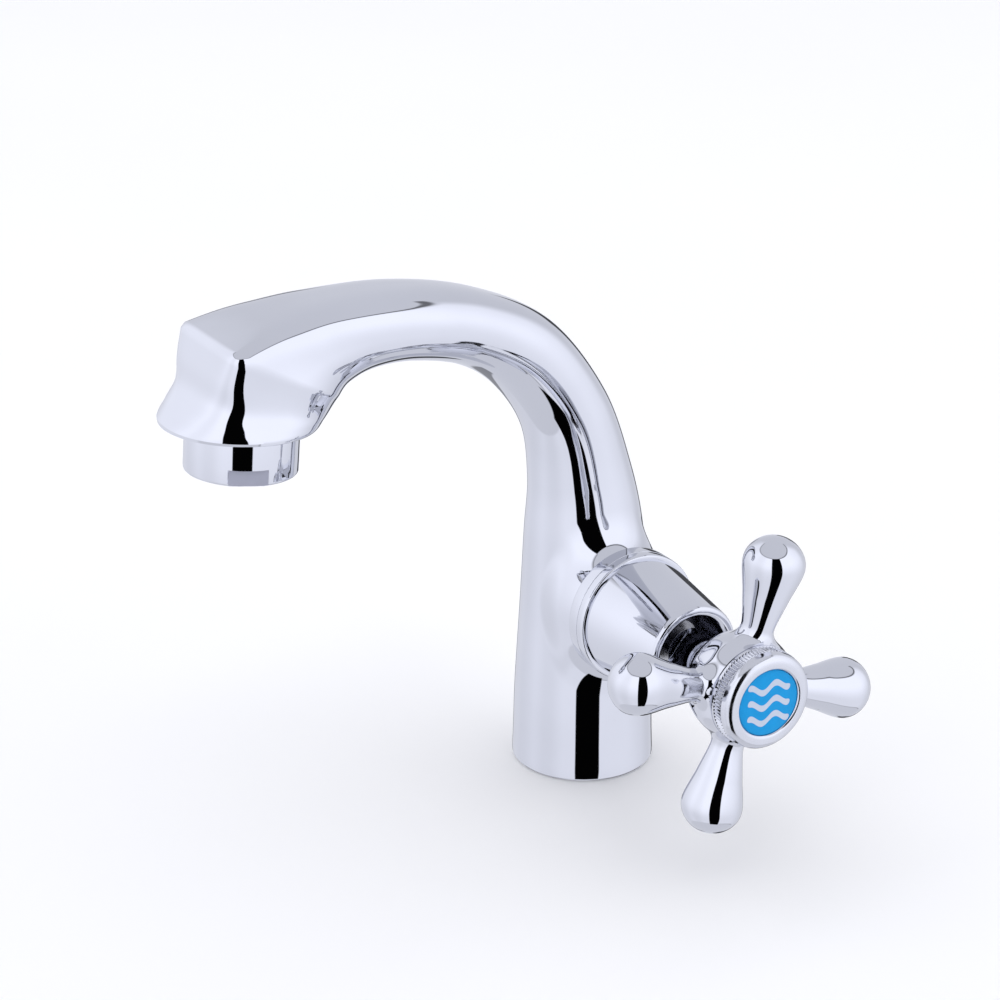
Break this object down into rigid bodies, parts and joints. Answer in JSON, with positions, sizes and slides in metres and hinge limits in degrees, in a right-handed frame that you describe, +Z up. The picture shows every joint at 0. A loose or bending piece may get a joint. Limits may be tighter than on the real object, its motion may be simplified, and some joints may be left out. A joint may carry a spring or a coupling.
{
  "type": "pillar tap",
  "caption": "Deck-mounted basin tap with an arched spout, a side ceramic valve and a four-armed cross handle that turns to open.",
  "frame": {"origin": "centre of the column's foot, in the face that rests on the deck", "axes": "+Z up; -Y along the spout, towards the user's basin; +X out along the handle's axis"},
  "size_m": [0.1062, 0.1598, 0.1457],
  "materials": {
    "chrome_body": "polished chrome plate",
    "chrome_trim": "polished chrome plate",
    "chrome_shroud": "polished chrome plate",
    "chrome_handle": "polished chrome plate",
    "chrome_index": "polished chrome plate, knurled edge",
    "chrome_aerator": "polished chrome plate",
    "index_blue": "glossy print on plastic",
    "plated_headwork": "nickel-plated brass, machined",
    "plated_spindle": "nickel-plated brass, machined",
    "steel_screw": "plain",
    "steel_clip": "plain",
    "slide_plastic": "plain",
    "rubber_spindle": "matte",
    "rubber_body": "matte",
    "rubber_seat": "matte",
    "rubber_base": "matte",
    "rubber_aerator": "matte",
    "ceramic_fixed": "lapped ceramic, stored as matte_plastic",
    "ceramic_moving": "lapped ceramic, stored as matte_plastic",
    "white_insert": "moulded acetal",
    "white_plate": "moulded acetal",
    "steel_screen": "woven mesh"
  },
  "bodies": {
    "tap_body": {"body": "chrome_body", "base_gasket": "rubber_base", "trim_ring": "chrome_trim", "bonnet_shroud": "chrome_shroud", "valve_body": "plated_headwork", "body_oring": "rubber_body", "seat_gasket": "rubber_seat", "fixed_disc": "ceramic_fixed", "aerator_housing": "chrome_aerator", "aerator_gasket": "rubber_aerator", "aerator_insert": "white_insert", "aerator_jet_plate": "white_plate", "aerator_screens": "steel_screen"},
    "handle": {"cross_handle": "chrome_handle", "index_ring": "chrome_index", "index_disc": "index_blue", "handle_screw": "steel_screw", "spindle": "plated_spindle", "spindle_clip": "steel_clip", "spindle_orings": "rubber_spindle", "moving_disc": "ceramic_moving", "friction_washer": "slide_plastic"}
  },
  "joints": [
    {"name": "handle_turn", "type": "hinge", "parent": "tap_body", "child": "handle", "pos_m": [0.07, 0, 0.0513], "axis": [1, 0, 0], "range_deg": [0, 180]}
  ]
}
